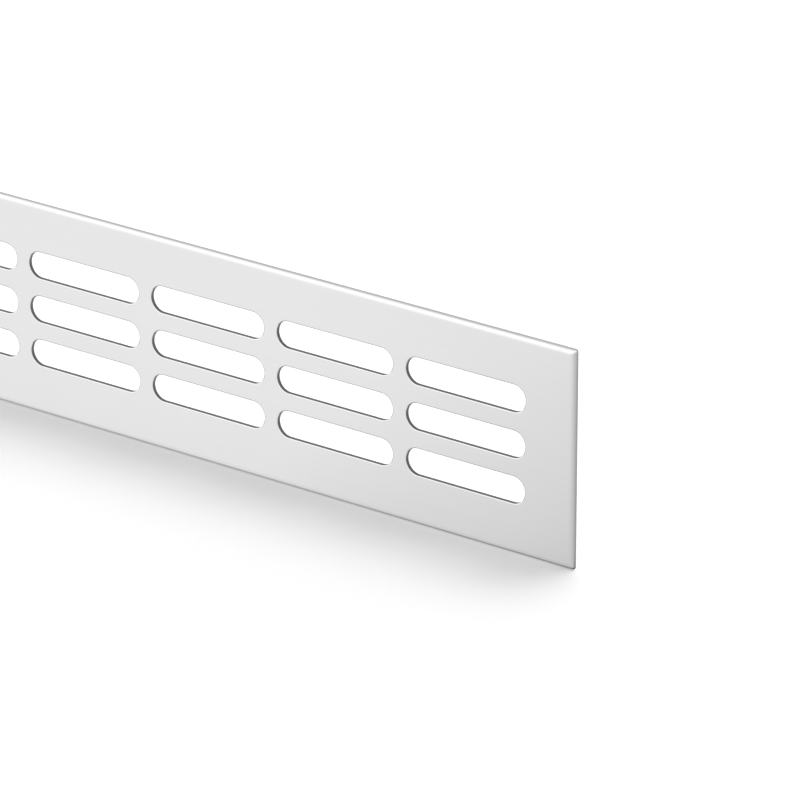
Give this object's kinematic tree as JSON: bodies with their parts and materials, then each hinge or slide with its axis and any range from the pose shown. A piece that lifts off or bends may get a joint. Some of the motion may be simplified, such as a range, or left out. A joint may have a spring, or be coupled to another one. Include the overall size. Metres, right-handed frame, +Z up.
{
  "type": "ventilation grille",
  "caption": "Long flat ventilation grille of satin aluminium sheet with rows of round-ended air slots and a softly rolled border.",
  "frame": {"origin": "the middle of the sheet's flat back, on the strip of metal between the two middle columns of slots", "axes": "+X along the sheet's length, +Y out of its back and into the wall, +Z up its height; the face looks towards -Y"},
  "size_m": [0.48, 0.0015, 0.08],
  "materials": {
    "satin_anodised_aluminium": "satin, silver anodised, with a very fine grain along the length"
  },
  "bodies": {
    "root": {"grille_plate": "satin_anodised_aluminium"}
  },
  "joints": []
}
